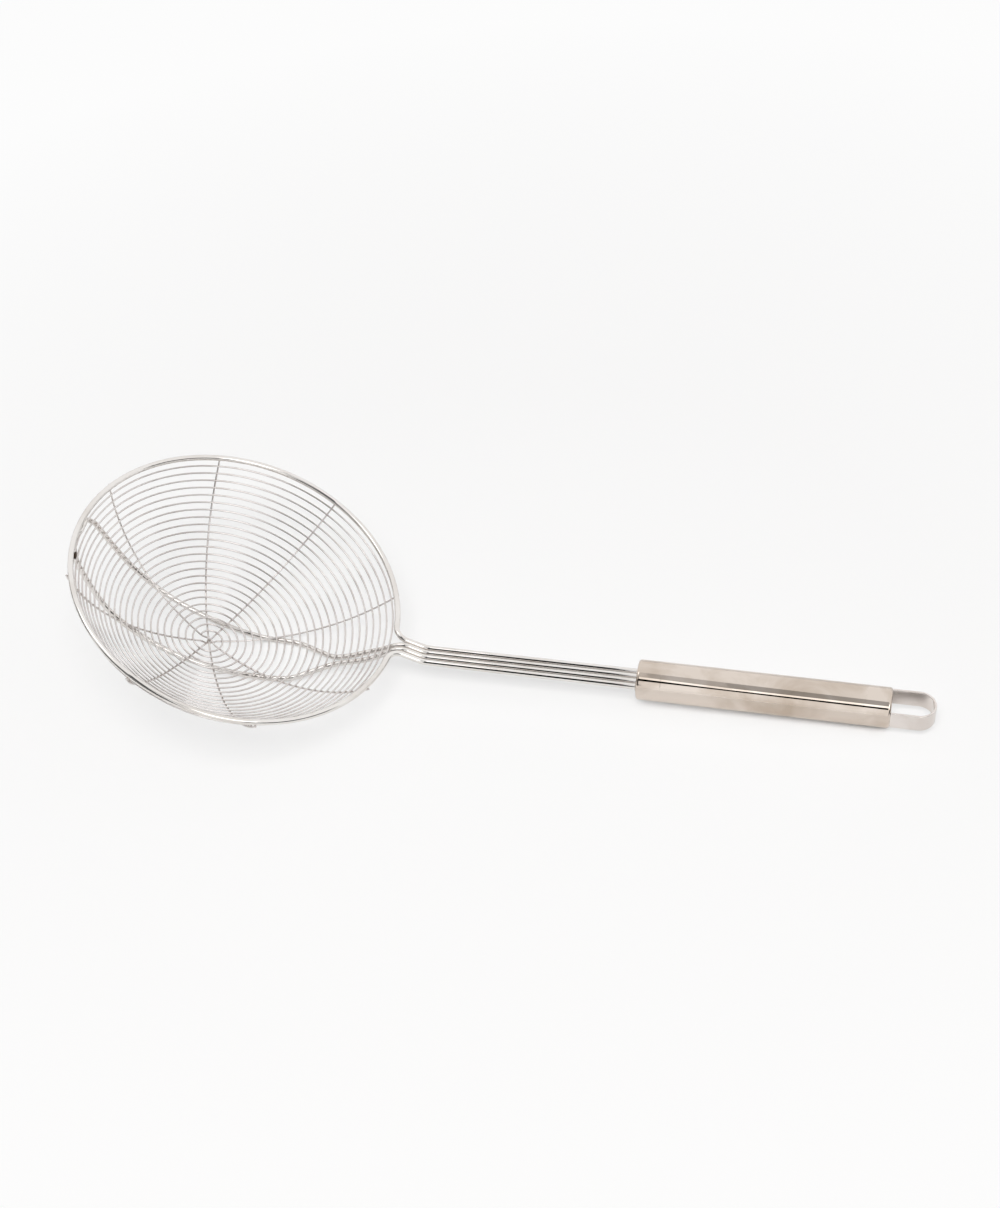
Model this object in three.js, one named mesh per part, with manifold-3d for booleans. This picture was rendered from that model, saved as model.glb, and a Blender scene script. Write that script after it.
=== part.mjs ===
import * as THREE from 'three';
import Module from 'manifold-3d';
import { mergeVertices } from 'three/addons/utils/BufferGeometryUtils.js';

// A wire skimmer: a round bowl of wound wire on a four-wire shaft, with a hollow handle and a hanging loop.
// It is built on the plane of its rim, with +X towards the handle, and is then laid down as on a table.
// Lengths are in millimetres and angles in degrees.

// Wires, and the gap that a weld fills between two pieces
const rimWire = 2.8;
const cradleWire = 2.6;
const spokeWire = 0.9;
const spiralWire = 0.9;
const weldGap = 0.3;

// Bowl: the depth is from the rim's centreline to the crossing of the spokes, which sits a little off centre
const rimOuterDiameter = 160;
const bowlDepth = 47.8;
const crossingOffset = 3.6;
const spokeCount = 4;
const spokeFirstAngle = 22.5;
const spokeTipBelowRim = 0.8;

// Spiral: its ends are measured along the bowl, from the crossing and from the rim's centreline
const spiralTurns = 23.5;
const spiralStart = 5;
const spiralToRim = 3.3;
const spiralStartAngle = 157.5;

// Cradle: a hairpin under the bowl. Its legs come down the wall side by side, part to a leaf shape and meet
// again in a round end, which is welded to the rim's inner side across the bowl from the handle.
// The insets are measured in plan from the rim's centreline, and the end's length along the bowl.
// The legs lie against the spiral within the hug angle of the handle's line, and under the spokes elsewhere.
// The end sits askew by a small turn about the bowl's axis.
const pairGap = 2.4;
const pairInset = 20;
const shoulderInset = 37;
const shoulderHalfWidth = 11.5;
const leafInset = 28;
const leafHalfWidth = 15.6;
const endLength = 16;
const endHalfWidth = 13.8;
const endArcAngle = 50;
const endSkew = 1.1;
const seatAngle = 2.2;
const seatSlope = 61;
const hugAngle = 12;
const spokeMargin = 4.5;

// Neck and shaft
const tailBendRadius = 7;
const neckBendRadius = 8;
const neckStraight = 5.6;
const kinkAngle = 21.9;
const kinkRadius = 12;
const shaftLength = 102.8;
const handlePitch = 3.15;
const wireInsertion = 8;

// Handle: a tube between two drawn end cups
const handleDiameter = 19;
const handleLength = 117.5;
const handleWall = 1;
const cupLength = 11.5;
const cupEdgeRadius = 1.2;

// Hanging loop: a flat strip bent to a U
const loopReach = 20.4;
const loopOuterWidth = 15.8;
const stripThickness = 1;
const stripWidth = 9.5;

// Facets
const hoopSteps = 72;
const stoutSides = 8;
const fineSides = 6;
const spiralStepsPerTurn = 24;
const spokeSteps = 48;
const spokeCentreShare = 0.3;
const leafSteps = 5;
const endSteps = 3;
const routeSteps = 3;
const bendSteps = 6;
const roundSegments = 40;
const edgeSegments = 4;
const loopFacets = 11;

// Sizes that follow from the ones above
const { degToRad, lerp, smoothstep } = THREE.MathUtils;
const rimRadius = (rimOuterDiameter - rimWire) / 2;
const seatDepth = bowlDepth - (rimWire + spokeWire) / 2 - weldGap;
const sphereHeight = (rimRadius ** 2 - seatDepth ** 2) / (2 * seatDepth);
const spokeSphere = sphereHeight + bowlDepth;
const spiralSphere = spokeSphere - (spokeWire + spiralWire) / 2 - weldGap;
const cradleSphere = spokeSphere + (spokeWire + cradleWire) / 2 + weldGap;
const hugReach = (spiralWire + cradleWire) / 2 + weldGap;
const hugSphere = spiralSphere + hugReach;
const rimPolar = Math.atan2(rimRadius, sphereHeight);
const pairHalf = (cradleWire + pairGap) / 2;
const neckHalf = (cradleWire + weldGap) / 2;
const tailHalf = neckHalf + (cradleWire + rimWire) / 2 + weldGap;
const tailBendY = tailHalf + tailBendRadius;
const tailBendX = Math.sqrt((rimRadius + tailBendRadius) ** 2 - tailBendY ** 2);
const neckBendDrop = sphereHeight + neckBendRadius;
const neckSphere = Math.sqrt(hugSphere ** 2 - neckHalf ** 2);
const neckBendX = Math.sqrt((neckSphere + neckBendRadius) ** 2 - neckBendDrop ** 2);
const kink = degToRad(kinkAngle);
const kinkStart = Math.max(tailBendX, neckBendX) + neckStraight;
const kinkX = kinkStart + kinkRadius * Math.tan(kink / 2);
const handleRadius = handleDiameter / 2;
const spiralStartPolar = spiralStart / spokeSphere;
const spiralEndPolar = rimPolar - spiralToRim / spokeSphere;

// Finishes
const polishedWire = { color: '#d3d1cd', metalness: 1, roughness: 0.16 };
const satinTube = { color: '#cfc6ba', metalness: 1, roughness: 0.34 };
const brightStrip = { color: '#dcdad7', metalness: 1, roughness: 0.22 };

// A wire's centreline through a list of points, with one extrusion step from each point to the next
class WireCurve extends THREE.Curve {
  constructor(points) {
    super();
    this.points = points;
  }

  getPointAt(t, target = new THREE.Vector3()) {
    return target.copy(this.points[Math.round(t * (this.points.length - 1))]);
  }

  getTangentAt(t, target = new THREE.Vector3()) {
    const last = this.points.length - 1;
    const index = Math.round(t * last);
    const before = this.points[Math.max(index - 1, 0)];
    const after = this.points[Math.min(index + 1, last)];
    return target.subVectors(after, before).normalize();
  }
}

function roundSection(diameter, sides) {
  const corners = [];
  for (let side = 0; side < sides; side += 1) {
    const angle = (2 * Math.PI * (side + 0.5)) / sides;
    corners.push(new THREE.Vector2(Math.cos(angle), Math.sin(angle)).multiplyScalar(diameter / 2));
  }
  return new THREE.Shape(corners);
}

function wire(name, points, diameter, sides) {
  const geometry = new THREE.ExtrudeGeometry(roundSection(diameter, sides), {
    steps: points.length - 1,
    extrudePath: new WireCurve(points),
    bevelEnabled: false,
  });
  return piece(name, geometry, polishedWire);
}

function piece(name, geometry, finish) {
  const mesh = new THREE.Mesh(geometry, new THREE.MeshStandardMaterial(finish));
  mesh.name = name;
  return mesh;
}

function mirrored(points) {
  return points.map((point) => new THREE.Vector3(point.x, -point.y, point.z)).reverse();
}

// A point of the bowl by its distance from the axis, its angle round it and its height.
// The bowl leans a little, so that its crossing sits away from the handle.
function around(radius, azimuth, height) {
  const lean = (crossingOffset * height) / bowlDepth;
  return new THREE.Vector3(radius * Math.cos(azimuth) + lean, radius * Math.sin(azimuth), height);
}

function onSphere(sphere, polar, azimuth) {
  return around(sphere * Math.sin(polar), azimuth, sphereHeight - sphere * Math.cos(polar));
}

// A point of the cradle's leg by its place in plan
function underBowl(x, y) {
  const turn = Math.atan2(Math.abs(y), Math.abs(x));
  const underSpokes = smoothstep(turn, degToRad(hugAngle), degToRad(spokeFirstAngle - spokeMargin));
  const sphere = lerp(hugSphere, cradleSphere, underSpokes);
  return onSphere(sphere, Math.asin(Math.hypot(x, y) / sphere), Math.atan2(y, x));
}

// A shaft wire, from its end inside the handle round the kink to the neck. The four wires fan out a little.
function shaftPoints(y, handleY) {
  const reach = shaftLength + wireInsertion;
  const points = [new THREE.Vector3(kinkX + reach * Math.cos(kink), handleY, reach * Math.sin(kink))];
  for (let step = bendSteps; step >= 0; step -= 1) {
    const turn = (kink * step) / bendSteps;
    const x = kinkStart + kinkRadius * Math.sin(turn);
    points.push(new THREE.Vector3(x, y, kinkRadius * (1 - Math.cos(turn))));
  }
  return points;
}

// The rim is a hoop whose two ends bend outwards to become the outer wires of the shaft
function rimPoints() {
  const hoopStart = Math.atan2(tailBendY, tailBendX);
  const points = shaftPoints(tailHalf, 1.5 * handlePitch);
  for (let step = 0; step < bendSteps; step += 1) {
    const angle = lerp(1.5 * Math.PI, Math.PI + hoopStart, step / bendSteps);
    const x = tailBendX + tailBendRadius * Math.cos(angle);
    points.push(new THREE.Vector3(x, tailBendY + tailBendRadius * Math.sin(angle), 0));
  }
  for (let step = 0; step <= hoopSteps / 2; step += 1) {
    points.push(around(rimRadius, lerp(hoopStart, Math.PI, (2 * step) / hoopSteps), 0));
  }
  return [...points, ...mirrored(points).slice(1)];
}

// Where a cradle wire comes up the bowl's wall and levels out into the neck
function neckBend() {
  const wallAngle = Math.PI - Math.atan2(neckBendDrop, neckBendX);
  const points = [];
  for (let step = 0; step <= bendSteps; step += 1) {
    const angle = lerp(Math.PI / 2, wallAngle, step / bendSteps);
    const x = neckBendX + neckBendRadius * Math.cos(angle);
    const height = neckBendRadius * (Math.sin(angle) - 1);
    points.push(around(Math.hypot(x, neckHalf), Math.atan2(neckHalf, x), height));
  }
  return points;
}

// The cradle's leg runs down the wall beside its twin and parts from it to half of the leaf
function cradleLeg() {
  const partX = rimRadius - pairInset;
  const shoulderX = rimRadius - shoulderInset;
  const leafX = leafInset - rimRadius;
  const route = [underBowl((neckBendX + partX) / 2, pairHalf), underBowl(partX, pairHalf)];
  route.push(underBowl((partX + shoulderX) / 2, (pairHalf + shoulderHalfWidth) / 2));
  for (let step = 0; step <= leafSteps; step += 1) {
    const flare = Math.sin((Math.PI / 2) * (step / leafSteps));
    const x = lerp(shoulderX, leafX, step / leafSteps);
    route.push(underBowl(x, lerp(shoulderHalfWidth, leafHalfWidth, flare)));
  }
  return route;
}

// The leg then climbs the wall in a round end. Near its middle the end passes round the spiral's last turn,
// between that and the rim, and lies along the rim's inner side.
function cradleEnd() {
  const seatReach = (rimWire + cradleWire) / 2 + weldGap;
  const points = [];
  for (let step = 0; step < endSteps; step += 1) {
    const turn = degToRad(endArcAngle) * (step / (endSteps - 1));
    const polar = rimPolar - (seatReach + endLength * (1 - Math.sin(turn))) / spokeSphere;
    const across = (endHalfWidth * Math.cos(turn)) / (hugSphere * Math.sin(polar));
    points.push(onSphere(hugSphere, polar, Math.PI - Math.asin(across)));
  }
  const beforePass = (180 - spiralStartAngle) / 360;
  const lastPass = Math.floor(spiralTurns + beforePass) - beforePass;
  const passPolar = lerp(spiralStartPolar, spiralEndPolar, lastPass / spiralTurns);
  const outward = new THREE.Vector2(Math.sin(passPolar), -Math.cos(passPolar));
  const pass = outward.clone().multiplyScalar(spiralSphere).add(new THREE.Vector2(0, sphereHeight));
  const slope = degToRad(seatSlope);
  const seat = new THREE.Vector2(rimRadius - seatReach * Math.cos(slope), -seatReach * Math.sin(slope));
  const between = seat.clone().sub(pass).normalize().add(outward).setLength(hugReach).add(pass);
  points.push(around(between.x, Math.PI - degToRad(2 * seatAngle), between.y));
  points.push(around(seat.x, Math.PI - degToRad(seatAngle), seat.y));
  points.push(around(seat.x, Math.PI, seat.y));
  return points;
}

function askew(point) {
  const centre = around(0, 0, point.z);
  const turn = -degToRad(endSkew) * smoothstep(-point.x, 0, rimRadius);
  return point.clone().sub(centre).applyAxisAngle(new THREE.Vector3(0, 0, 1), turn).add(centre);
}

function cradlePoints() {
  const bend = neckBend();
  const half = [bend[bend.length - 1], ...cradleLeg(), ...cradleEnd()];
  const hairpin = [...half, ...mirrored(half).slice(1)].map(askew);
  const route = new THREE.CatmullRomCurve3(hairpin, false, 'centripetal');
  const start = [...shaftPoints(neckHalf, handlePitch / 2), ...bend.slice(0, -1)];
  return [...start, ...route.getPoints(routeSteps * (route.points.length - 1)), ...mirrored(start)];
}

// A spoke runs from rim to rim, and the spokes are stacked where they cross.
// Its steps are finer near the crossing, and the stack fades out before the spiral begins.
function spokePoints(index) {
  const azimuth = degToRad(spokeFirstAngle + (180 / spokeCount) * index);
  const level = (index - (spokeCount - 1) / 2) * (spokeWire + weldGap);
  const stackReach = spiralStart - spiralWire / 2;
  const tipPolar = Math.acos((sphereHeight + spokeTipBelowRim) / spokeSphere);
  const points = [];
  for (let step = 0; step <= spokeSteps; step += 1) {
    const place = (2 * step) / spokeSteps - 1;
    const polar = tipPolar * lerp(place ** 3, place, spokeCentreShare);
    const nearness = Math.max(1 - ((spokeSphere * polar) / stackReach) ** 2, 0);
    points.push(onSphere(spokeSphere - level * nearness ** 2, polar, azimuth));
  }
  return points;
}

// The bowl's wall is one wire wound in a spiral on the inner side of the spokes
function spiralPoints() {
  const steps = Math.round(spiralTurns * spiralStepsPerTurn);
  const points = [];
  for (let step = 0; step <= steps; step += 1) {
    const azimuth = degToRad(spiralStartAngle - (360 * step) / spiralStepsPerTurn);
    points.push(onSphere(spiralSphere, lerp(spiralStartPolar, spiralEndPolar, step / steps), azimuth));
  }
  return points;
}

// The least gap between one turn of a wound wire and another, on the points of its centreline
function leastSelfGap(points, stepsPerTurn, diameter) {
  let least = Infinity;
  for (let step = 0; step < points.length; step += 1) {
    for (let other = step + stepsPerTurn / 2; other < points.length; other += 1) {
      least = Math.min(least, points[step].distanceTo(points[other]));
    }
  }
  return least - diameter;
}

// A drawn cup with a rounded edge: its closed end is at the origin and it opens along +Y
function cupGeometry() {
  const inner = handleRadius - handleWall;
  const profile = [new THREE.Vector2(0, 0)];
  for (let step = 0; step <= edgeSegments; step += 1) {
    const angle = (Math.PI / 2) * (step / edgeSegments);
    const x = handleRadius - cupEdgeRadius * (1 - Math.sin(angle));
    profile.push(new THREE.Vector2(x, cupEdgeRadius * (1 - Math.cos(angle))));
  }
  profile.push(new THREE.Vector2(handleRadius, cupLength));
  profile.push(new THREE.Vector2(inner, cupLength));
  profile.push(new THREE.Vector2(inner, handleWall));
  profile.push(new THREE.Vector2(0, handleWall));
  return new THREE.LatheGeometry(profile, roundSegments);
}

function tubeGeometry() {
  const length = handleLength - 2 * (cupLength + weldGap);
  const inner = handleRadius - handleWall;
  const corners = [[inner, 0], [handleRadius, 0], [handleRadius, length], [inner, length], [inner, 0]];
  const profile = corners.map(([radius, place]) => new THREE.Vector2(radius, place));
  return new THREE.LatheGeometry(profile, roundSegments);
}

// The slot that the four wires of the shaft pass through, as a solid along +Y
function slotGeometry() {
  const half = rimWire / 2 + weldGap;
  const slot = new THREE.Shape();
  slot.absarc(1.5 * handlePitch, 0, half, -Math.PI / 2, Math.PI / 2);
  slot.absarc(-1.5 * handlePitch, 0, half, Math.PI / 2, 1.5 * Math.PI);
  const through = { depth: 2 * cupLength, curveSegments: edgeSegments, bevelEnabled: false };
  const geometry = new THREE.ExtrudeGeometry(slot, through);
  return geometry.translate(0, 0, -cupLength).rotateX(-Math.PI / 2);
}

// The strip's outline in plan: an odd number of flats, so that the middle one faces the handle squarely
function loopGeometry() {
  const outer = loopOuterWidth / 2;
  const inner = outer - stripThickness;
  const centreX = loopReach - outer;
  const corners = [new THREE.Vector2(weldGap, outer)];
  for (const [radius, turn] of [[outer, 1], [inner, -1]]) {
    for (let facet = 0; facet <= loopFacets; facet += 1) {
      const angle = turn * Math.PI * (0.5 - facet / loopFacets);
      corners.push(new THREE.Vector2(centreX + radius * Math.cos(angle), radius * Math.sin(angle)));
    }
    corners.push(new THREE.Vector2(weldGap, -turn * radius));
    if (turn > 0) corners.push(new THREE.Vector2(weldGap, -inner));
  }
  const strip = { depth: stripWidth, bevelEnabled: false };
  return new THREE.ExtrudeGeometry(new THREE.Shape(corners), strip).translate(0, 0, -stripWidth / 2);
}

// Closed meshes become solids for a cut, and the result becomes a mesh again
const wasm = await Module();
wasm.setup();

function solid(geometry) {
  const bare = geometry.clone();
  bare.deleteAttribute('normal');
  bare.deleteAttribute('uv');
  const merged = mergeVertices(bare, 1e-4);
  const vertProperties = new Float32Array(merged.attributes.position.array);
  const triVerts = new Uint32Array(merged.index.array);
  return new wasm.Manifold(new wasm.Mesh({ numProp: 3, vertProperties, triVerts }));
}

function cut(body, tool) {
  const mesh = solid(body).subtract(solid(tool)).getMesh();
  const geometry = new THREE.BufferGeometry();
  geometry.setAttribute('position', new THREE.BufferAttribute(mesh.vertProperties, 3));
  geometry.setIndex(new THREE.BufferAttribute(mesh.triVerts, 1));
  geometry.computeVertexNormals();
  return geometry;
}

function buildBowl() {
  const bowl = new THREE.Group();
  bowl.add(wire('rim_wire', rimPoints(), rimWire, stoutSides));
  bowl.add(wire('cradle_wire', cradlePoints(), cradleWire, stoutSides));
  for (let index = 0; index < spokeCount; index += 1) {
    bowl.add(wire(`spoke_${index + 1}`, spokePoints(index), spokeWire, fineSides));
  }
  const winding = spiralPoints();
  bowl.add(wire('spiral_wire', winding, spiralWire, fineSides));
  const gap = leastSelfGap(winding, spiralStepsPerTurn, spiralWire);
  console.log(`spiral_wire: least gap to itself ${gap.toFixed(2)} mm`);
  return bowl;
}

// The handle lies along its own +X, which starts at the kink and follows the shaft
function buildHandle() {
  const handle = new THREE.Group();
  handle.position.x = kinkX;
  handle.rotation.y = -kink;
  const frontCup = piece('front_cup', cut(cupGeometry(), slotGeometry()), satinTube);
  frontCup.rotation.z = -Math.PI / 2;
  frontCup.position.x = shaftLength;
  const tube = piece('handle_tube', tubeGeometry(), satinTube);
  tube.rotation.z = -Math.PI / 2;
  tube.position.x = shaftLength + cupLength + weldGap;
  const rearCup = piece('rear_cup', cupGeometry(), satinTube);
  rearCup.rotation.z = Math.PI / 2;
  rearCup.position.x = shaftLength + handleLength;
  const loop = piece('hang_loop', loopGeometry(), brightStrip);
  loop.position.x = shaftLength + handleLength;
  handle.add(frontCup, tube, rearCup, loop);
  return handle;
}

// The corners of a group's meshes, in the frame that the group stands in
function cornersOf(group) {
  group.updateMatrixWorld(true);
  const corners = [];
  group.traverse((object) => {
    if (!object.isMesh) return;
    const place = object.geometry.attributes.position;
    for (let index = 0; index < place.count; index += 1) {
      corners.push(new THREE.Vector3().fromBufferAttribute(place, index).applyMatrix4(object.matrixWorld));
    }
  });
  return corners;
}

// Lying down, the skimmer rests on its cradle and on the far end of its handle
function restPitch(bowl, handle) {
  const bowlCorners = cornersOf(bowl);
  const handleCorners = cornersOf(handle);
  const lowest = (corners, pitch) => corners.reduce(
    (low, corner) => Math.min(low, corner.z * Math.cos(pitch) - corner.x * Math.sin(pitch)),
    Infinity,
  );
  let shallow = 0;
  let steep = Math.PI / 3;
  for (let halving = 0; halving < 40; halving += 1) {
    const pitch = (shallow + steep) / 2;
    if (lowest(bowlCorners, pitch) < lowest(handleCorners, pitch)) shallow = pitch;
    else steep = pitch;
  }
  return shallow;
}

const bowl = buildBowl();
const handle = buildHandle();
const skimmer = new THREE.Group();
skimmer.rotation.y = restPitch(bowl, handle);
skimmer.add(bowl, handle);

// The origin is on the table, under the middle of the skimmer's box
const box = new THREE.Box3().setFromPoints(cornersOf(skimmer));
const middle = box.getCenter(new THREE.Vector3());
skimmer.position.set(-middle.x, -middle.y, -box.min.z);

export default skimmer;
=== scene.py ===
import math
import bmesh
import bpy
from mathutils import Matrix, Vector


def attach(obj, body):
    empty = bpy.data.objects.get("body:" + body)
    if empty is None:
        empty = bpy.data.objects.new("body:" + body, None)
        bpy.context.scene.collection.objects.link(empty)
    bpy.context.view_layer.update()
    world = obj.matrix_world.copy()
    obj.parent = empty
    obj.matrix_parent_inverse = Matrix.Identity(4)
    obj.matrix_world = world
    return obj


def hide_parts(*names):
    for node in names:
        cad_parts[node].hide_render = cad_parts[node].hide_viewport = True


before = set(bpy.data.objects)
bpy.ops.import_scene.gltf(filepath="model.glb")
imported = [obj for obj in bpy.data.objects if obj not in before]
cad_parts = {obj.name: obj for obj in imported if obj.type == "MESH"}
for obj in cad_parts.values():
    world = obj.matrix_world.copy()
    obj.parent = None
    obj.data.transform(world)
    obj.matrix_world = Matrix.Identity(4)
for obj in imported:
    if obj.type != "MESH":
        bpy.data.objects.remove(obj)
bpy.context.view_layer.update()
print("frame loaded, nodes:", len(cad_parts))

# Lengths are metres, written as millimetres times mm
mm = 0.001

# The skimmer is drawn on its rim's plane, with +X to the handle, then pitched and lifted as it lies
restPitch = 0.406986
restShift = Vector((-125.947, 0, 52.352)) * mm
layDown = Matrix.Translation(restShift) @ Matrix.Rotation(restPitch, 4, "Y")

bowl = {
    "rimRadius": 78.6 * mm,
    "depth": 47.8 * mm,
    "crossingOffset": 3.6 * mm,
    "weldGap": 0.3 * mm,
}
wireRadius = {
    "rim": 1.4 * mm,
    "cradle": 1.3 * mm,
    "spoke": 0.45 * mm,
    "spiral": 0.45 * mm,
}

# The bowl's wires lie on spheres round one centre above the rim's plane
seatDepth = bowl["depth"] - wireRadius["rim"] - wireRadius["spoke"] - bowl["weldGap"]
sphereHeight = (bowl["rimRadius"] ** 2 - seatDepth ** 2) / (2 * seatDepth)
spokeSphere = sphereHeight + bowl["depth"]
spiralSphere = spokeSphere - wireRadius["spoke"] - wireRadius["spiral"] - bowl["weldGap"]
cradleSphere = spokeSphere + wireRadius["spoke"] + wireRadius["cradle"] + bowl["weldGap"]
hugReach = wireRadius["spiral"] + wireRadius["cradle"] + bowl["weldGap"]
hugSphere = spiralSphere + hugReach
rimPolar = math.atan2(bowl["rimRadius"], sphereHeight)


def mix(start, end, share):
    return start + (end - start) * share


def eased(value, low, high):
    share = min(max((value - low) / (high - low), 0), 1)
    return share * share * (3 - 2 * share)


def around(radius, azimuth, height):
    lean = bowl["crossingOffset"] * height / bowl["depth"]
    return Vector((radius * math.cos(azimuth) + lean, radius * math.sin(azimuth), height))


def onSphere(sphere, polar, azimuth):
    return around(sphere * math.sin(polar), azimuth, sphereHeight - sphere * math.cos(polar))


def mirrored(points):
    return [Vector((point.x, -point.y, point.z)) for point in reversed(points)]


# Materials. A surface's lay is its UV map, in metres round the wire or tube and along it.
def linear(code):
    channels = [int(code[place:place + 2], 16) / 255 for place in (1, 3, 5)]
    return [c / 12.92 if c <= 0.04045 else ((c + 0.055) / 1.055) ** 2.4 for c in channels] + [1.0]


def addNode(tree, kind, settings=None, values=None, links=None):
    node = tree.nodes.new(kind)
    for name, setting in (settings or {}).items():
        setattr(node, name, setting)
    for socket, value in (values or {}).items():
        node.inputs[socket].default_value = value
    for socket, source in (links or {}).items():
        tree.links.new(source, node.inputs[socket])
    return node


def setStops(ramp, stops):
    elements = ramp.color_ramp.elements
    while len(elements) < len(stops):
        elements.new(1.0)
    for element, (place, colour) in zip(elements, stops):
        element.position = place
        element.color = colour


# Steel, drawn, rolled or turned. Fine lines run along the work, and a slow film of handling lies over them.
# The eye gets a bright mirror whose highlights are drawn out and a little uneven.
# The real lines are a few micrometres wide: they are drawn coarser here, so that they show.
def steel(name, look):
    material = bpy.data.materials.new(name)
    material.use_nodes = True
    tree = material.node_tree
    shader = tree.nodes["Principled BSDF"]
    shader.inputs["Metallic"].default_value = 1.0
    lay = addNode(tree, "ShaderNodeUVMap", {"uv_map": "lay"})
    place = addNode(tree, "ShaderNodeTexCoord")
    streak = addNode(tree, "ShaderNodeMapping", links={"Vector": lay.outputs["UV"]},
                     values={"Scale": (1 / look["lineWidth"], 1 / look["lineLength"], 1)})
    lines = addNode(tree, "ShaderNodeTexNoise", values={"Scale": 1.0, "Detail": 3.0, "Roughness": 0.6},
                    links={"Vector": streak.outputs["Vector"]})
    film = addNode(tree, "ShaderNodeTexNoise",
                   values={"Scale": 1 / look["filmSize"], "Detail": 4.0, "Distortion": 0.6},
                   links={"Vector": place.outputs["Object"]})
    tone = addNode(tree, "ShaderNodeValToRGB", links={"Fac": film.outputs["Fac"]})
    setStops(tone, [(0.30, linear(look["stained"])), (0.58, linear(look["clean"]))])
    shine = addNode(tree, "ShaderNodeMapRange", links={"Value": lines.outputs["Fac"]}, values={
        "From Min": 0.3, "From Max": 0.7, "To Min": look["rough"][0], "To Max": look["rough"][1]})
    relief = addNode(tree, "ShaderNodeBump", values={"Strength": look["relief"], "Distance": 0.02 * mm},
                     links={"Height": lines.outputs["Fac"]})
    tree.links.new(tone.outputs["Color"], shader.inputs["Base Color"])
    tree.links.new(shine.outputs["Result"], shader.inputs["Roughness"])
    tree.links.new(relief.outputs["Normal"], shader.inputs["Normal"])
    return material


# Polished after drawing: crisp bright lines run along the stout wires
polishedWire = steel("steelWireDrawnAndPolished", {
    "clean": "#EBE8E5", "stained": "#DFDAD5", "rough": (0.02, 0.06), "relief": 0.05,
    "lineWidth": 0.11 * mm, "lineLength": 4.5 * mm, "filmSize": 22 * mm,
})
# Left as drawn: softer, greyer lines on the thin wires
fineWire = steel("steelWireBrightDrawn", {
    "clean": "#E2DEDC", "stained": "#D3CDCA", "rough": (0.04, 0.10), "relief": 0.08,
    "lineWidth": 0.06 * mm, "lineLength": 4 * mm, "filmSize": 17 * mm,
})
# Buffed lengthwise: a warm mirror, clouded by faint stains of handling
satinTube = steel("steelTubeBuffedLengthwise", {
    "clean": "#DED3C9", "stained": "#C0B1A2", "rough": (0.015, 0.045), "relief": 0.02,
    "lineWidth": 0.4 * mm, "lineLength": 42 * mm, "filmSize": 26 * mm,
})
# Rolled cold: an even, pale sheen
brightStrip = steel("steelStripColdRolled", {
    "clean": "#E7E1DD", "stained": "#D9D1CB", "rough": (0.05, 0.11), "relief": 0.06,
    "lineWidth": 0.2 * mm, "lineLength": 17 * mm, "filmSize": 20 * mm,
})
# Fused and cooled in air: small dull lumps
weldMetal = steel("steelWeldFused", {
    "clean": "#CFC9C3", "stained": "#A59C93", "rough": (0.18, 0.34), "relief": 0.3,
    "lineWidth": 0.7 * mm, "lineLength": 0.7 * mm, "filmSize": 2.4 * mm,
})
# A nearly black, dull skin
blackLumpLook = steel("steelLumpNearlyBlack", {
    "clean": "#4A3F37", "stained": "#1B1613", "rough": (0.3, 0.5), "relief": 0.4,
    "lineWidth": 0.7 * mm, "lineLength": 0.7 * mm, "filmSize": 1.7 * mm,
})
print("materials made")


# Meshes
sharpAngle = math.radians(50)
endRings = 4
endTipShare = 0.02
turnedSegments = 128


def meshPiece(name, vertices, faces, lays, matrix):
    mesh = bpy.data.meshes.new(name)
    mesh.from_pydata([matrix @ vertex for vertex in vertices], [], faces)
    layer = mesh.uv_layers.new(name="lay")
    layer.data.foreach_set("uv", [number for lay in lays for number in lay])
    mesh.shade_smooth()
    mesh.set_sharp_from_angle(angle=sharpAngle)
    piece = bpy.data.objects.new(name, mesh)
    bpy.context.scene.collection.objects.link(piece)
    return piece


def finishPiece(piece, material, slotName, *nodes):
    piece.data.materials.append(material)
    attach(piece, "root")
    if nodes:
        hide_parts(*nodes)
    return piece


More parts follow.
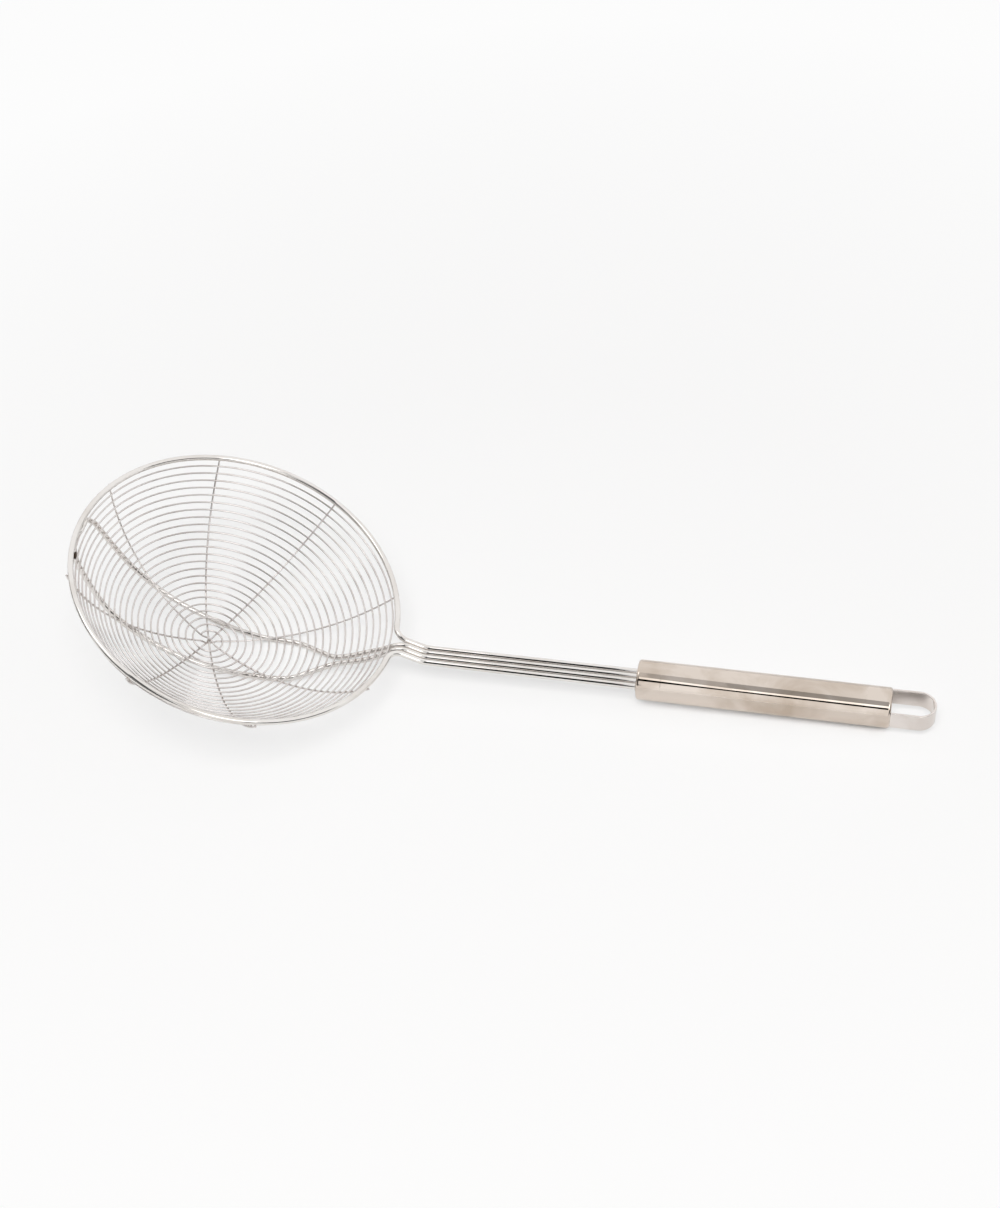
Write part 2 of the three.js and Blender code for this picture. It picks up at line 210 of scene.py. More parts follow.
# A section swept along a path. Its frame turns with the path, or stands on a fixed side direction.
# Each end closes in rings that follow a quarter round, as deep as its rounding. A closed path has no ends.
def sweep(name, path, section, matrix, side=None, rounding=0.0, closed=False):
    last = len(path) - 1
    before = [path[i - 1] if i or closed else path[0] for i in range(last + 1)]
    after = [path[(i + 1) % (last + 1)] if i < last or closed else path[last] for i in range(last + 1)]
    tangents = [(there - here).normalized() for here, there in zip(before, after)]
    across = side.copy() if side else tangents[0].orthogonal().normalized()
    rings = []
    travel = 0.0
    for i, point in enumerate(path):
        if i:
            travel += (point - path[i - 1]).length
        if not side:
            across = (across - tangents[i] * across.dot(tangents[i])).normalized()
        other = tangents[i].cross(across)
        rings.append((point, across.copy(), other, travel, 1.0))
    if rounding:
        first, final = rings[0], rings[-1]
        for ring in range(1, endRings + 1):
            angle = math.pi / 2 * ring / endRings
            size = max(math.cos(angle), endTipShare)
            reach = rounding * math.sin(angle)
            rings.insert(0, (path[0] - tangents[0] * reach, first[1], first[2], -reach, size))
            rings.append((path[-1] + tangents[-1] * reach, final[1], final[2], travel + reach, size))
    count = len(section)
    girth = [0.0]
    for i in range(count):
        a, b = section[i], section[(i + 1) % count]
        girth.append(girth[-1] + math.hypot(b[0] - a[0], b[1] - a[1]))
    vertices = []
    for point, across, other, travel, size in rings:
        vertices.extend(point + (across * a + other * b) * size for a, b in section)
    faces = []
    lays = []
    for ring in range(len(rings) - (0 if closed else 1)):
        here, there = ring * count, (ring + 1) % len(rings) * count
        low = rings[ring][3]
        high = low + (rings[(ring + 1) % len(rings)][0] - rings[ring][0]).length
        for i in range(count):
            j = (i + 1) % count
            faces.append((here + i, here + j, there + j, there + i))
            lays.extend([(girth[i], low), (girth[i + 1], low), (girth[i + 1], high), (girth[i], high)])
    if not closed:
        faces.append(tuple(reversed(range(count))))
        lays.extend((girth[i], rings[0][3]) for i in reversed(range(count)))
        top = (len(rings) - 1) * count
        faces.append(tuple(range(top, top + count)))
        lays.extend((girth[i], rings[-1][3]) for i in range(count))
    return meshPiece(name, vertices, faces, lays, matrix)


def roundSection(radius, sides):
    turns = [2 * math.pi * side / sides for side in range(sides)]
    return [(radius * math.cos(turn), radius * math.sin(turn)) for turn in turns]


# A profile of (place along X, radius) turned about X. It closes on itself, or has a flat disc at each end.
def turned(name, profile, matrix, discs=False):
    segments = turnedSegments
    vertices = []
    for place, radius in profile:
        for segment in range(segments):
            turn = 2 * math.pi * segment / segments
            vertices.append(Vector((place, radius * math.cos(turn), radius * math.sin(turn))))
    faces = []
    lays = []
    travel = 0.0
    girth = max(radius for place, radius in profile) * 2 * math.pi / segments
    last = len(profile) - 1
    for ring in range(last if discs else last + 1):
        following = (ring + 1) % len(profile)
        step = math.dist(profile[ring], profile[following])
        here, there = ring * segments, following * segments
        for i in range(segments):
            j = (i + 1) % segments
            faces.append((here + i, here + j, there + j, there + i))
            near, far = i * girth, (i + 1) * girth
            lays.extend([(near, travel), (far, travel), (far, travel + step), (near, travel + step)])
        travel += step
    if discs:
        faces.append(tuple(reversed(range(segments))))
        faces.append(tuple(range(last * segments, (last + 1) * segments)))
        lays.extend((vertices[i].y, vertices[i].z) for face in faces[-2:] for i in face)
    return meshPiece(name, vertices, faces, lays, matrix)


# Weld nuggets: small rounded lumps, each with its own place and half sizes along three directions
def nuggets(name, lumps, matrix, fineness=3):
    form = bmesh.new()
    for centre, axes in lumps:
        lump = Matrix.Translation(centre) @ Matrix([
            (axes[0][row], axes[1][row], axes[2][row], 0) for row in range(3)] + [(0, 0, 0, 1)])
        bmesh.ops.create_icosphere(form, subdivisions=fineness, radius=1.0, matrix=matrix @ lump)
    mesh = bpy.data.meshes.new(name)
    layer = form.loops.layers.uv.new("lay")
    for face in form.faces:
        for loop in face.loops:
            loop[layer].uv = (loop.vert.co.x + loop.vert.co.y, loop.vert.co.z)
    bmesh.ops.recalc_face_normals(form, faces=form.faces)
    form.to_mesh(mesh)
    form.free()
    mesh.shade_smooth()
    piece = bpy.data.objects.new(name, mesh)
    bpy.context.scene.collection.objects.link(piece)
    return piece


# Shaft: the ends of the rim wire and of the cradle wire, side by side, fanning out a little to the handle
shaft = {
    "kink": math.radians(21.9),
    "kinkRadius": 12 * mm,
    "length": 102.8 * mm,
    "insertion": 8 * mm,
    "handlePitch": 3.15 * mm,
    "neckStraight": 5.6 * mm,
    "tailBend": 7 * mm,
    "neckBend": 8 * mm,
    "bendSteps": 20,
    "straightSteps": 24,
}
neckHalf = wireRadius["cradle"] + bowl["weldGap"] / 2
tailHalf = neckHalf + wireRadius["cradle"] + wireRadius["rim"] + bowl["weldGap"]
tailBendY = tailHalf + shaft["tailBend"]
tailBendX = math.sqrt((bowl["rimRadius"] + shaft["tailBend"]) ** 2 - tailBendY ** 2)
neckDrop = sphereHeight + shaft["neckBend"]
neckReach = math.sqrt(hugSphere ** 2 - neckHalf ** 2) + shaft["neckBend"]
neckBendX = math.sqrt(neckReach ** 2 - neckDrop ** 2)
kinkStart = max(tailBendX, neckBendX) + shaft["neckStraight"]
kinkX = kinkStart + shaft["kinkRadius"] * math.tan(shaft["kink"] / 2)


def shaftPoints(y, handleY):
    reach = shaft["length"] + shaft["insertion"]
    start = shaft["kinkRadius"] * math.tan(shaft["kink"] / 2)
    points = []
    for step in range(shaft["straightSteps"]):
        along = mix(reach, start, step / shaft["straightSteps"])
        side = mix(y, handleY, (along - start) / (reach - start))
        lift = along * math.sin(shaft["kink"])
        points.append(Vector((kinkX + along * math.cos(shaft["kink"]), side, lift)))
    for step in range(shaft["bendSteps"], -1, -1):
        turn = shaft["kink"] * step / shaft["bendSteps"]
        x = kinkStart + shaft["kinkRadius"] * math.sin(turn)
        points.append(Vector((x, y, shaft["kinkRadius"] * (1 - math.cos(turn)))))
    return points


# Rim wire
rim = {"hoopSteps": 240, "sides": 20}


def rimPoints():
    hoopStart = math.atan2(tailBendY, tailBendX)
    points = shaftPoints(tailHalf, 1.5 * shaft["handlePitch"])
    for step in range(shaft["bendSteps"]):
        angle = mix(1.5 * math.pi, math.pi + hoopStart, step / shaft["bendSteps"])
        x = tailBendX + shaft["tailBend"] * math.cos(angle)
        points.append(Vector((x, tailBendY + shaft["tailBend"] * math.sin(angle), 0)))
    for step in range(rim["hoopSteps"] // 2 + 1):
        points.append(around(bowl["rimRadius"], mix(hoopStart, math.pi, 2 * step / rim["hoopSteps"]), 0))
    return points + mirrored(points)[1:]


rimWire = sweep("rimWire", rimPoints(), roundSection(wireRadius["rim"], rim["sides"]), layDown)
finishPiece(rimWire, polishedWire, "polished_wire", "rim_wire")

# Spiral wire: one wire wound on the inner side of the spokes
spiral = {
    "turns": 23.5,
    "start": 5 * mm,
    "toRim": 3.3 * mm,
    "startAngle": math.radians(157.5),
    "stepsPerTurn": 120,
    "sides": 10,
    "endRounding": 0.3 * mm,
}
spiralStartPolar = spiral["start"] / spokeSphere
spiralEndPolar = rimPolar - spiral["toRim"] / spokeSphere


def spiralPolar(turn):
    return mix(spiralStartPolar, spiralEndPolar, turn / spiral["turns"])


def spiralPoint(turn):
    return onSphere(spiralSphere, spiralPolar(turn), spiral["startAngle"] - 2 * math.pi * turn)


spiralSteps = round(spiral["turns"] * spiral["stepsPerTurn"])
spiralPath = [spiralPoint(step / spiral["stepsPerTurn"]) for step in range(spiralSteps + 1)]
spiralSection = roundSection(wireRadius["spiral"], spiral["sides"])
spiralWire = sweep("spiralWire", spiralPath, spiralSection, layDown, rounding=spiral["endRounding"])
finishPiece(spiralWire, fineWire, "fine_wire", "spiral_wire")

# Spokes: from rim to rim, stacked where they cross
spokes = {
    "count": 4,
    "firstAngle": math.radians(22.5),
    "tipBelowRim": 1.15 * mm,
    "steps": 160,
    "centreShare": 0.3,
    "sides": 12,
    "endRounding": 0.4 * mm,
}
tipPolar = math.acos((sphereHeight + spokes["tipBelowRim"]) / spokeSphere)
spokeLevel = 2 * wireRadius["spoke"] + bowl["weldGap"]


def spokePoints(index):
    azimuth = spokes["firstAngle"] + math.pi * index / spokes["count"]
    level = (index - (spokes["count"] - 1) / 2) * spokeLevel
    stackReach = spiral["start"] - wireRadius["spiral"]
    points = []
    for step in range(spokes["steps"] + 1):
        place = 2 * step / spokes["steps"] - 1
        polar = tipPolar * mix(place ** 3, place, spokes["centreShare"])
        nearness = max(1 - (spokeSphere * polar / stackReach) ** 2, 0)
        points.append(onSphere(spokeSphere - level * nearness ** 2, polar, azimuth))
    return points


spokeSection = roundSection(wireRadius["spoke"], spokes["sides"])
for index in range(spokes["count"]):
    spoke = sweep(f"spoke{index + 1}", spokePoints(index), spokeSection, layDown,
                  rounding=spokes["endRounding"])
    finishPiece(spoke, fineWire, "fine_wire", f"spoke_{index + 1}")

# Cradle wire: a hairpin. Its legs hug the spiral near the handle's line and pass under the spokes elsewhere.
cradle = {
    "pairHalf": 2.5 * mm,
    "pairInset": 20 * mm,
    "shoulderInset": 37 * mm,
    "shoulderHalf": 11.5 * mm,
    "leafInset": 28 * mm,
    "leafHalf": 15.6 * mm,
    "endLength": 16 * mm,
    "endHalf": 13.8 * mm,
    "endArc": math.radians(50),
    "endSkew": math.radians(1.1),
    "seatAngle": math.radians(2.2),
    "seatSlope": math.radians(61),
    "hugAngle": math.radians(12),
    "spokeMargin": math.radians(4.5),
    "leafSteps": 5,
    "endSteps": 3,
    "routeSteps": 12,
    "sides": 20,
}
seatReach = wireRadius["rim"] + wireRadius["cradle"] + bowl["weldGap"]
seatRadius = bowl["rimRadius"] - seatReach * math.cos(cradle["seatSlope"])
seatHeight = -seatReach * math.sin(cradle["seatSlope"])


def underBowl(x, y):
    turn = math.atan2(abs(y), abs(x))
    share = eased(turn, cradle["hugAngle"], spokes["firstAngle"] - cradle["spokeMargin"])
    sphere = mix(hugSphere, cradleSphere, share)
    return onSphere(sphere, math.asin(math.hypot(x, y) / sphere), math.atan2(y, x))


def neckBend():
    wallAngle = math.pi - math.atan2(neckDrop, neckBendX)
    points = []
    for step in range(shaft["bendSteps"] + 1):
        angle = mix(math.pi / 2, wallAngle, step / shaft["bendSteps"])
        x = neckBendX + shaft["neckBend"] * math.cos(angle)
        height = shaft["neckBend"] * (math.sin(angle) - 1)
        points.append(around(math.hypot(x, neckHalf), math.atan2(neckHalf, x), height))
    return points


def cradleLeg():
    partX = bowl["rimRadius"] - cradle["pairInset"]
    shoulderX = bowl["rimRadius"] - cradle["shoulderInset"]
    leafX = cradle["leafInset"] - bowl["rimRadius"]
    points = [underBowl((neckBendX + partX) / 2, cradle["pairHalf"]), underBowl(partX, cradle["pairHalf"])]
    points.append(underBowl((partX + shoulderX) / 2, (cradle["pairHalf"] + cradle["shoulderHalf"]) / 2))
    for step in range(cradle["leafSteps"] + 1):
        share = step / cradle["leafSteps"]
        half = mix(cradle["shoulderHalf"], cradle["leafHalf"], math.sin(math.pi / 2 * share))
        points.append(underBowl(mix(shoulderX, leafX, share), half))
    return points


def cradleEnd():
    points = []
    for step in range(cradle["endSteps"]):
        turn = cradle["endArc"] * step / (cradle["endSteps"] - 1)
        polar = rimPolar - (seatReach + cradle["endLength"] * (1 - math.sin(turn))) / spokeSphere
        across = cradle["endHalf"] * math.cos(turn) / (hugSphere * math.sin(polar))
        points.append(onSphere(hugSphere, polar, math.pi - math.asin(across)))
    beforePass = (math.pi - spiral["startAngle"]) / (2 * math.pi)
    passPolar = spiralPolar(math.floor(spiral["turns"] + beforePass) - beforePass)
    outward = Vector((math.sin(passPolar), -math.cos(passPolar)))
    lastTurn = outward * spiralSphere + Vector((0, sphereHeight))
    towardsSeat = (Vector((seatRadius, seatHeight)) - lastTurn).normalized()
    between = lastTurn + (towardsSeat + outward).normalized() * hugReach
    points.append(around(between.x, math.pi - 2 * cradle["seatAngle"], between.y))
    points.append(around(seatRadius, math.pi - cradle["seatAngle"], seatHeight))
    points.append(around(seatRadius, math.pi, seatHeight))
    return points


def askew(point):
    centre = around(0, 0, point.z)
    turn = -cradle["endSkew"] * eased(-point.x, 0, bowl["rimRadius"])
    return Matrix.Rotation(turn, 3, "Z") @ (point - centre) + centre


# A smooth line through the points, with knots spaced by the root of their distance
def smoothLine(points, steps):
    padded = [points[0] * 2 - points[1], *points, points[-1] * 2 - points[-2]]
    line = []
    for i in range(1, len(padded) - 2):
        a, b, c, d = padded[i - 1:i + 3]
        first, middle, last = [math.sqrt((q - p).length) for p, q in ((a, b), (b, c), (c, d))]
        leave = ((b - a) / first - (c - a) / (first + middle) + (c - b) / middle) * middle
        arrive = ((c - b) / middle - (d - b) / (middle + last) + (d - c) / last) * middle
        for step in range(steps):
            t = step / steps
            line.append(b * (2 * t ** 3 - 3 * t ** 2 + 1) + leave * (t ** 3 - 2 * t ** 2 + t)
                        + c * (3 * t ** 2 - 2 * t ** 3) + arrive * (t ** 3 - t ** 2))
    return line + [points[-1].copy()]


def cradlePoints():
    bend = neckBend()
    half = [bend[-1], *cradleLeg(), *cradleEnd()]
    hairpin = [askew(point) for point in half + mirrored(half)[1:]]
    start = shaftPoints(neckHalf, shaft["handlePitch"] / 2) + bend[:-1]
    return start + smoothLine(hairpin, cradle["routeSteps"]) + mirrored(start)


cradleSection = roundSection(wireRadius["cradle"], cradle["sides"])
cradleWire = sweep("cradleWire", cradlePoints(), cradleSection, layDown)
finishPiece(cradleWire, polishedWire, "polished_wire", "cradle_wire")
print("wires swept")

# Handle: two drawn cups butt-welded to a tube, along its own +X from the kink
handle = {
    "radius": 9.5 * mm,
    "length": 117.5 * mm,
    "wall": 1 * mm,
    "cupLength": 11.5 * mm,
    "edgeRadius": 1.2 * mm,
    "edgeSteps": 10,
    "edgeHold": 1.35 * mm,
    "tubeSteps": 24,
    "seamHeight": 0.013 * mm,
    "seamSink": 0.01 * mm,
    "seamHalf": 0.45 * mm,
    "seamSteps": 8,
}
alongHandle = layDown @ Matrix.Translation((kinkX, 0, 0)) @ Matrix.Rotation(-shaft["kink"], 4, "Y")
frontX = shaft["length"]
rearX = shaft["length"] + handle["length"]


def cupProfile(endX, inward):
    edge = handle["edgeRadius"]
    outer = handle["radius"]
    profile = [(endX, outer - 2 * edge)]
    for step in range(handle["edgeSteps"] + 1):
        turn = math.pi / 2 * step / handle["edgeSteps"]
        profile.append((endX + inward * edge * (1 - math.cos(turn)), outer - edge * (1 - math.sin(turn))))
    profile.append((endX + inward * handle["edgeHold"], outer))
    profile.append((endX + inward * handle["cupLength"] / 2, outer))
    profile.append((endX + inward * handle["cupLength"], outer))
    profile.append((endX + inward * handle["cupLength"], outer - handle["wall"]))
    profile.append((endX + inward * handle["wall"], outer - handle["wall"]))
    return profile if inward > 0 else list(reversed(profile))


frontCup = turned("frontCup", cupProfile(frontX, 1), alongHandle, discs=True)
finishPiece(frontCup, satinTube, "satin_tube", "front_cup")
rearCup = turned("rearCup", cupProfile(rearX, -1), alongHandle, discs=True)
finishPiece(rearCup, satinTube, "satin_tube", "rear_cup")

tubeStart = frontX + handle["cupLength"] + bowl["weldGap"]
tubeEnd = rearX - handle["cupLength"] - bowl["weldGap"]
tubeProfile = [(tubeStart, handle["radius"] - handle["wall"])]
for step in range(handle["tubeSteps"] + 1):
    tubeProfile.append((mix(tubeStart, tubeEnd, step / handle["tubeSteps"]), handle["radius"]))
tubeProfile.append((tubeEnd, handle["radius"] - handle["wall"]))
handleTube = turned("handleTube", tubeProfile, alongHandle)
finishPiece(handleTube, satinTube, "satin_tube", "handle_tube")

# The butt welds are ground nearly flush and fill the gaps between the cups and the tube
seams = {"frontSeam": tubeStart - bowl["weldGap"] / 2, "rearSeam": tubeEnd + bowl["weldGap"] / 2}
for name, seamX in seams.items():
    seamProfile = []
    for step in range(handle["seamSteps"] + 1):
        share = 2 * step / handle["seamSteps"] - 1
        height = handle["seamHeight"] * (1 - share * share) - handle["seamSink"]
        seamProfile.append((seamX + share * handle["seamHalf"], handle["radius"] + height))
    for side in (1, -1):
        seamProfile.append((seamX + side * bowl["weldGap"] / 2, handle["radius"] - handle["wall"]))
    seam = turned(name, seamProfile, alongHandle)
    finishPiece(seam, satinTube, "satin_tube")
print("handle turned")

# Hanging loop: a flat strip with eased edges, bent to a U and welded to the rear cup
loop = {
    "reach": 20.4 * mm,
    "outerHalf": 7.9 * mm,
    "thickness": 1 * mm,
    "width": 9.5 * mm,
    "edge": 0.28 * mm,
    "edgeHold": 0.1 * mm,
    "bendSteps": 48,
    "legSteps": 8,
}


def stripSection():
    half = loop["thickness"] / 2 - loop["edge"]
    tall = loop["width"] / 2 - loop["edge"]
    corners = ((half, tall, 0), (-half, tall, 1), (-half, -tall, 2), (half, -tall, 3))
    section = []
    for x, y, quarter in corners:
        for step, hold in ((0, -1), (0, 0), (1, 0), (2, 0), (3, 0), (4, 0), (4, 1)):
            turn = math.pi / 2 * (quarter + step / 4)
            slide = hold * loop["edgeHold"]
            section.append((x + loop["edge"] * math.cos(turn) - slide * math.sin(turn),
                            y + loop["edge"] * math.sin(turn) + slide * math.cos(turn)))
    return section


def loopPath():
    middle = loop["outerHalf"] - loop["thickness"] / 2
    centre = rearX + loop["reach"] - loop["outerHalf"]
    leg = []
    for step in range(loop["legSteps"]):
        leg.append(Vector((mix(rearX, centre, step / loop["legSteps"]), middle, 0)))
    bend = []
    for step in range(loop["bendSteps"] + 1):
        turn = math.pi * (0.5 - step / loop["bendSteps"])
        bend.append(Vector((centre + middle * math.cos(turn), middle * math.sin(turn), 0)))
    return leg + bend + mirrored(leg)


# The section's first direction lies across the strip's thickness, so the frame stands on the strip's width
uprightSection = [(tall, thick) for thick, tall in reversed(stripSection())]
hangLoop = sweep("hangLoop", loopPath(), uprightSection, alongHandle, side=Vector((0, 0, 1)))
finishPiece(hangLoop, brightStrip, "bright_strip", "hang_loop")
print("loop bent")

# Welds: nuggets where the spiral crosses the spokes, and at the spokes' tips and crossing
weld = {
    "crossing": 0.4 * mm,
    "crossingShape": (1.1, 1.1, 0.85),
    "crossingFineness": 1,
    "tip": 0.42 * mm,
    "tipShape": (1.25, 1.3, 1.0),
    "tipOutset": 0.8 * mm,
    "hub": 1.2 * mm,
    "hubShape": (0.75, 0.75, 1.6),
}


def shaped(directions, shape, size):
    return [direction * share * size for direction, share in zip(directions, shape)]


def radial(polar, azimuth):
    level = math.sin(polar)
    return Vector((level * math.cos(azimuth), level * math.sin(azimuth), -math.cos(polar)))


crossings = []
for arm in range(2 * spokes["count"]):
    azimuth = spokes["firstAngle"] + math.pi * arm / spokes["count"]
    turn = ((spiral["startAngle"] - azimuth) / (2 * math.pi)) % 1
    while turn < spiral["turns"]:
        polar = spiralPolar(turn)
        centre = onSphere((spiralSphere + spokeSphere) / 2, polar, azimuth)
        out = radial(polar, azimuth)
        along = Vector((-math.sin(azimuth), math.cos(azimuth), 0))
        directions = (along, out.cross(along), out)
        crossings.append((centre, shaped(directions, weld["crossingShape"], weld["crossing"])))
        turn += 1
crossingWelds = nuggets("crossingWelds", crossings, layDown, weld["crossingFineness"])
finishPiece(crossingWelds, weldMetal, "fine_wire")

tips = []
for arm in range(2 * spokes["count"]):
    azimuth = spokes["firstAngle"] + math.pi * arm / spokes["count"]
    centre = around(bowl["rimRadius"] + weld["tipOutset"], azimuth, -wireRadius["rim"])
    outward = radial(math.pi / 2, azimuth)
    directions = (outward, Vector((-outward.y, outward.x, 0)), Vector((0, 0, 1)))
    tips.append((centre, shaped(directions, weld["tipShape"], weld["tip"])))
rimWelds = nuggets("rimWelds", tips, layDown)
finishPiece(rimWelds, weldMetal, "polished_wire")

hubAxes = shaped(Matrix.Identity(3), weld["hubShape"], weld["hub"])
hubWeld = nuggets("hubWeld", [(onSphere(spokeSphere, 0, 0), hubAxes)], layDown)
finishPiece(hubWeld, weldMetal, "fine_wire")

# The cradle's end is welded to the rim where they touch, and a nearly black lump lies beside that
seats = {
    "seatWeld": {
        "azimuth": math.radians(180),
        "inset": 0.9 * mm,
        "drop": 1.2 * mm,
        "half": (2.6, 0.9, 0.8),
        "look": weldMetal,
    },
    "nearlyBlackLump": {
        "azimuth": math.radians(194),
        "inset": 2.0 * mm,
        "drop": 0.2 * mm,
        "half": (2.2, 0.7, 0.8),
        "look": blackLumpLook,
    },
}
for name, seat in seats.items():
    centre = around(bowl["rimRadius"] - seat["inset"], seat["azimuth"], -seat["drop"])
    outward = radial(math.pi / 2, seat["azimuth"])
    directions = (Vector((-outward.y, outward.x, 0)), outward, Vector((0, 0, 1)))
    seatLump = nuggets(name, [(centre, shaped(directions, seat["half"], mm))], layDown)
    finishPiece(seatLump, seat["look"], "polished_wire")

# The wires are welded into the slot of the front cup by a bead that runs round them
entry = {
    "slack": 0.25 * mm,
    "beadRadius": 0.55 * mm,
    "beadSides": 10,
    "steps": 48,
}
slotHalf = wireRadius["rim"] + entry["slack"]
slotReach = 1.5 * shaft["handlePitch"]
slotPath = []
for step in range(entry["steps"]):
    turn = 2 * math.pi * (step + 0.5) / entry["steps"]
    y = slotHalf * math.cos(turn) + math.copysign(slotReach, math.cos(turn))
    slotPath.append(Vector((frontX, y, slotHalf * math.sin(turn))))
beadSection = roundSection(entry["beadRadius"], entry["beadSides"])
entryWeld = sweep("entryWeld", slotPath, beadSection, alongHandle, side=Vector((1, 0, 0)), closed=True)
finishPiece(entryWeld, weldMetal, "satin_tube")
print("welds laid")

# Floor: a matt white table. The camera sees it lifted towards white, and the steel in part.
# The lift falls off in the narrow crevices under the handle, so that the contact shade stays dark.
table = {
    "size": 8.0,
    "colour": "#F2F1F0",
    "roughness": 0.9,
    "specular": 0.1,
    "lift": (0.64, 0.92),
    "reach": (0.22, 0.6),
    "mirroredLift": 0.05,
    "creviceReach": 6 * mm,
    "creviceOpen": (0.15, 0.5),
    "creviceLift": 0.12,
}
floorMaterial = bpy.data.materials.new("tableMattWhite")
floorMaterial.use_nodes = True
floorTree = floorMaterial.node_tree
floorShader = floorTree.nodes["Principled BSDF"]
floorShader.inputs["Base Color"].default_value = linear(table["colour"])
floorShader.inputs["Roughness"].default_value = table["roughness"]
floorShader.inputs["Specular IOR Level"].default_value = table["specular"]
floorPlace = addNode(floorTree, "ShaderNodeTexCoord")
floorReach = addNode(floorTree, "ShaderNodeVectorMath", {"operation": "LENGTH"},
                     links={"Vector": floorPlace.outputs["Object"]})
floorLift = addNode(floorTree, "ShaderNodeMapRange", links={"Value": floorReach.outputs["Value"]}, values={
    "From Min": table["reach"][0], "From Max": table["reach"][1],
    "To Min": table["lift"][0], "To Max": table["lift"][1]})
floorRay = addNode(floorTree, "ShaderNodeLightPath")
cameraLift = addNode(floorTree, "ShaderNodeMath", {"operation": "MULTIPLY"})
floorTree.links.new(floorLift.outputs["Result"], cameraLift.inputs[0])
floorTree.links.new(floorRay.outputs["Is Camera Ray"], cameraLift.inputs[1])
crevice = addNode(floorTree, "ShaderNodeAmbientOcclusion", {"samples": 4},
                  {"Distance": table["creviceReach"]})
creviceShare = addNode(floorTree, "ShaderNodeMapRange", links={"Value": crevice.outputs["AO"]}, values={
    "From Min": table["creviceOpen"][0], "From Max": table["creviceOpen"][1],
    "To Min": table["creviceLift"]})
openLift = addNode(floorTree, "ShaderNodeMath", {"operation": "MULTIPLY"})
floorTree.links.new(cameraLift.outputs["Value"], openLift.inputs[0])
floorTree.links.new(creviceShare.outputs["Result"], openLift.inputs[1])
mirroredLift = addNode(floorTree, "ShaderNodeMapRange", values={"To Max": table["mirroredLift"]},
                       links={"Value": floorRay.outputs["Is Glossy Ray"]})
floorShare = addNode(floorTree, "ShaderNodeMath", {"operation": "MAXIMUM"})
floorTree.links.new(openLift.outputs["Value"], floorShare.inputs[0])
floorTree.links.new(mirroredLift.outputs["Result"], floorShare.inputs[1])
floorGlow = addNode(floorTree, "ShaderNodeEmission", values={"Strength": 1.0})
floorMix = addNode(floorTree, "ShaderNodeMixShader", links={"Fac": floorShare.outputs["Value"]})
floorTree.links.new(floorShader.outputs["BSDF"], floorMix.inputs[1])
floorTree.links.new(floorGlow.outputs["Emission"], floorMix.inputs[2])
floorTree.links.new(floorMix.outputs["Shader"], floorTree.nodes["Material Output"].inputs["Surface"])
bpy.ops.mesh.primitive_plane_add(size=table["size"], location=(0, 0, 0))
floor = bpy.context.object
floor.name = "tableTop"
floor.data.materials.append(floorMaterial)

# World: an even white tent, which the steel mirrors. The table takes its light from the lamps.
world = bpy.data.worlds.new("whiteTent")
bpy.context.scene.world = world
world.use_nodes = True
world.cycles_visibility.diffuse = False
worldShader = world.node_tree.nodes["Background"]
worldShader.inputs["Color"].default_value = (1.0, 0.995, 0.99, 1.0)
worldShader.inputs["Strength"].default_value = 1.0

# A soft light above the camera leaves a narrow faint shadow on the camera's side, and a wide one fills it
lamps = {
    "softKey": {"place": (0.15, -1.0, 2.15), "size": (1.2, 0.9), "power": 38},
    "wideFill": {"place": (0, 0, 2.0), "size": (4, 4), "power": 36},
}
for name, lamp in lamps.items():
    lampData = bpy.data.lights.new(name, "AREA")
    lampData.shape = "RECTANGLE"
    lampData.size, lampData.size_y = lamp["size"]
    lampData.energy = lamp["power"]
    lampPiece = bpy.data.objects.new(name, lampData)
    lampPiece.location = lamp["place"]
    lampPiece.rotation_euler = (-lampPiece.location).to_track_quat("-Z", "Y").to_euler()
    lampPiece.visible_glossy = False
    bpy.context.scene.collection.objects.link(lampPiece)

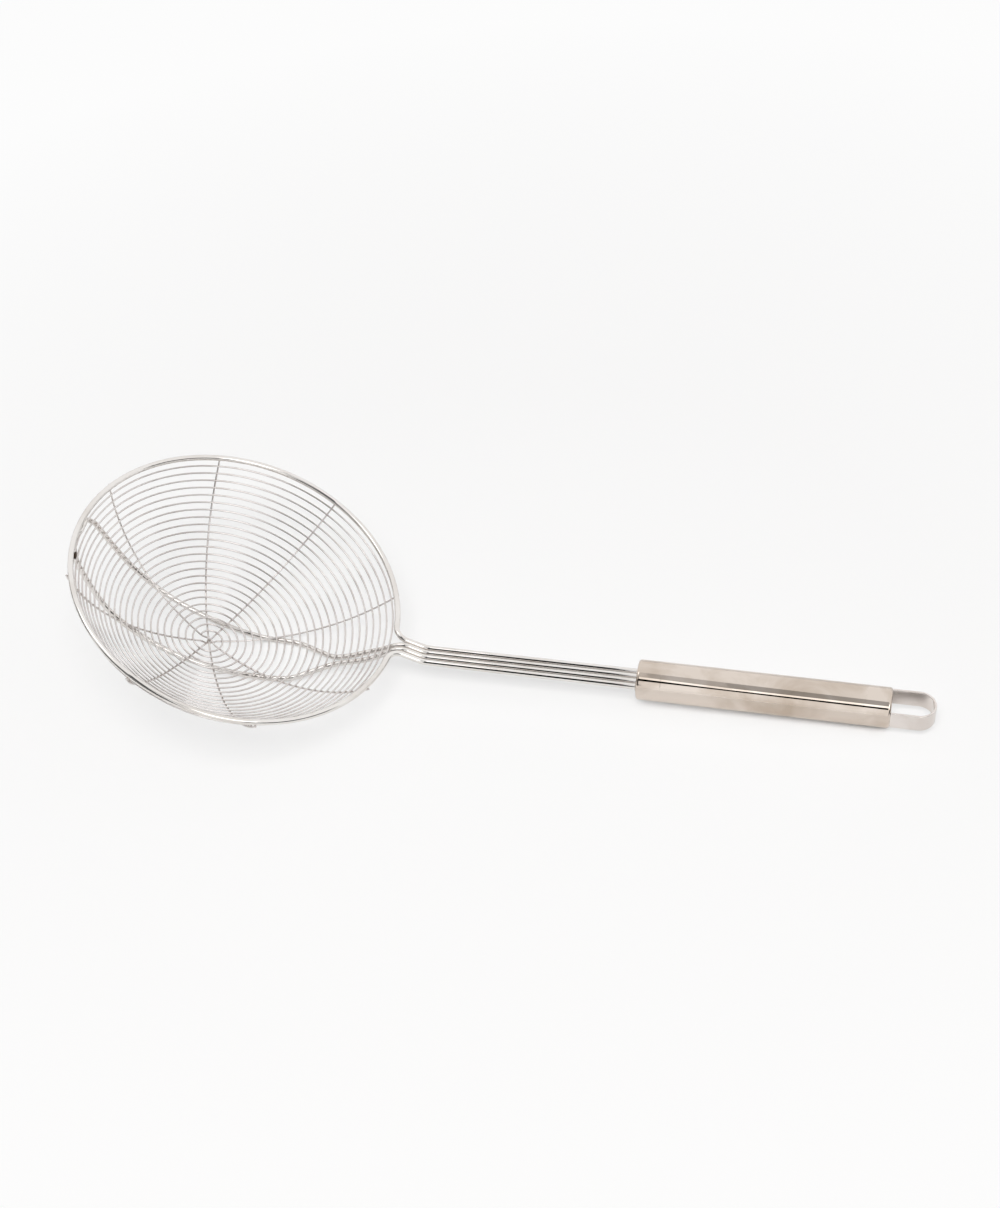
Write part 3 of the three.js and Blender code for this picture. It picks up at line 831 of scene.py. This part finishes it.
# What the steel mirrors of the studio: the dark sides of the room, the camera's stand, and strip lights.
# Each card is bent round the X axis: x, low and high angle above the front horizon at its ends, and glow.
cards = {
    "cardFar": {"left": (-14.0, -25, 160), "right": (-3.5, -10, 140), "glow": 0.08},
    "cardWindow": {"left": (-3.2, 20, 85), "right": (-2.0, 30, 80), "glow": 0.1},
    "cardRoom": {"left": (-2.4, -3, 45), "right": (-0.8, 8, 50), "glow": 0.16},
    "cardArm": {"left": (-0.8, 8, 50), "right": (-0.32, 12, 62), "glow": 0.2},
    "cardCamera": {"left": (-0.32, 12, 62), "right": (-0.055, 14, 80), "glow": 0.02},
    "cardStand": {"left": (-0.055, 41, 53), "right": (0.04, 40, 47), "glow": 0.0},
    "cardRail": {"left": (0.04, 40, 47), "right": (0.35, 31.5, 43), "glow": 0.0},
    "cardShelfTip": {"left": (-0.055, 65, 90), "right": (-0.025, 62.7, 88.9), "glow": 0.8},
    "cardShelf": {"left": (-0.025, 62.7, 88.9), "right": (0.06, 56, 85), "glow": 0.6},
    "cardShelfEnd": {"left": (0.06, 56, 85), "right": (0.35, 55, 75), "glow": 0.46},
    "cardDoor": {"left": (0.75, -2, 20), "right": (1.7, -3, 46), "glow": 0.04},
    "cardWall": {"left": (1.7, -3, 46), "right": (3.2, -6, 95), "glow": 0.08},
    "cardCorner": {"left": (3.2, -6, 95), "right": (9.0, -10, 100), "glow": 0.08},
    "stripFoot": {"left": (-0.055, 0, 13), "right": (0.5, 0, 13), "glow": 1.03},
    "stripLow": {"left": (-0.055, 13, 38), "right": (0.5, 13, 28), "glow": 1.1},
    "stripFront": {"left": (-0.055, 54, 64.5), "right": (0.06, 46, 55.5), "glow": 1.5},
    "stripFrontEnd": {"left": (0.06, 46, 55.5), "right": (0.35, 43.5, 54), "glow": 1.7},
    "stripRight": {"left": (0.35, 32, 66), "right": (1.2, 40, 66), "glow": 2.4},
    "stripAbove": {"left": (-1.0, 77, 92), "right": (-0.2, 82, 92), "glow": 2.6},
}
cardDistance = 1.3
cardSteps = 8
for name, card in cards.items():
    cardMaterial = bpy.data.materials.new(name)
    cardMaterial.use_nodes = True
    cardTree = cardMaterial.node_tree
    cardGlow = addNode(cardTree, "ShaderNodeEmission", values={"Strength": card["glow"]})
    cardTree.links.new(cardGlow.outputs["Emission"], cardTree.nodes["Material Output"].inputs["Surface"])
    corners = []
    for step in range(cardSteps + 1):
        for x, low, high in (card["left"], card["right"]):
            lift = math.radians(mix(low, high, step / cardSteps))
            corners.append(Vector((x, -cardDistance * math.cos(lift), cardDistance * math.sin(lift))))
    cardMesh = bpy.data.meshes.new(name)
    cardMesh.from_pydata(corners, [], [(2 * i, 2 * i + 1, 2 * i + 3, 2 * i + 2) for i in range(cardSteps)])
    cardMesh.materials.append(cardMaterial)
    cardPiece = bpy.data.objects.new(name, cardMesh)
    cardPiece.visible_camera = False
    cardPiece.visible_shadow = False
    cardPiece.visible_diffuse = False
    bpy.context.scene.collection.objects.link(cardPiece)

# Camera: fitted to the photograph, in the rim's frame, and laid down with the skimmer
view = {
    "azimuth": math.radians(-9.42),
    "elevation": math.radians(47.07),
    "roll": math.radians(27.95),
    "rimCentre": (237.94, 584.11),
    "distance": 0.992,
    "focalPixels": 2100,
    "image": (1000, 1208),
    "sensor": 36.0,
}
back = Vector((
    math.sin(view["azimuth"]) * math.cos(view["elevation"]),
    -math.cos(view["azimuth"]) * math.cos(view["elevation"]),
    math.sin(view["elevation"]),
))
level = Vector((math.cos(view["azimuth"]), math.sin(view["azimuth"]), 0))
rise = back.cross(level)
right = level * math.cos(view["roll"]) + rise * math.sin(view["roll"])
up = rise * math.cos(view["roll"]) - level * math.sin(view["roll"])
offRight = (view["rimCentre"][0] - view["image"][0] / 2) / view["focalPixels"] * view["distance"]
offUp = (view["rimCentre"][1] - view["image"][1] / 2) / view["focalPixels"] * view["distance"]
eye = back * view["distance"] - right * offRight + up * offUp
cameraData = bpy.data.cameras.new("photoCamera")
cameraData.sensor_width = view["sensor"]
cameraData.lens = view["focalPixels"] / view["image"][1] * view["sensor"]
camera = bpy.data.objects.new("photoCamera", cameraData)
camera.matrix_world = layDown @ Matrix([
    (right[row], up[row], back[row], eye[row]) for row in range(3)] + [(0, 0, 0, 1)])
bpy.context.scene.collection.objects.link(camera)
bpy.context.scene.camera = camera
bpy.context.scene.view_settings.view_transform = "Standard"
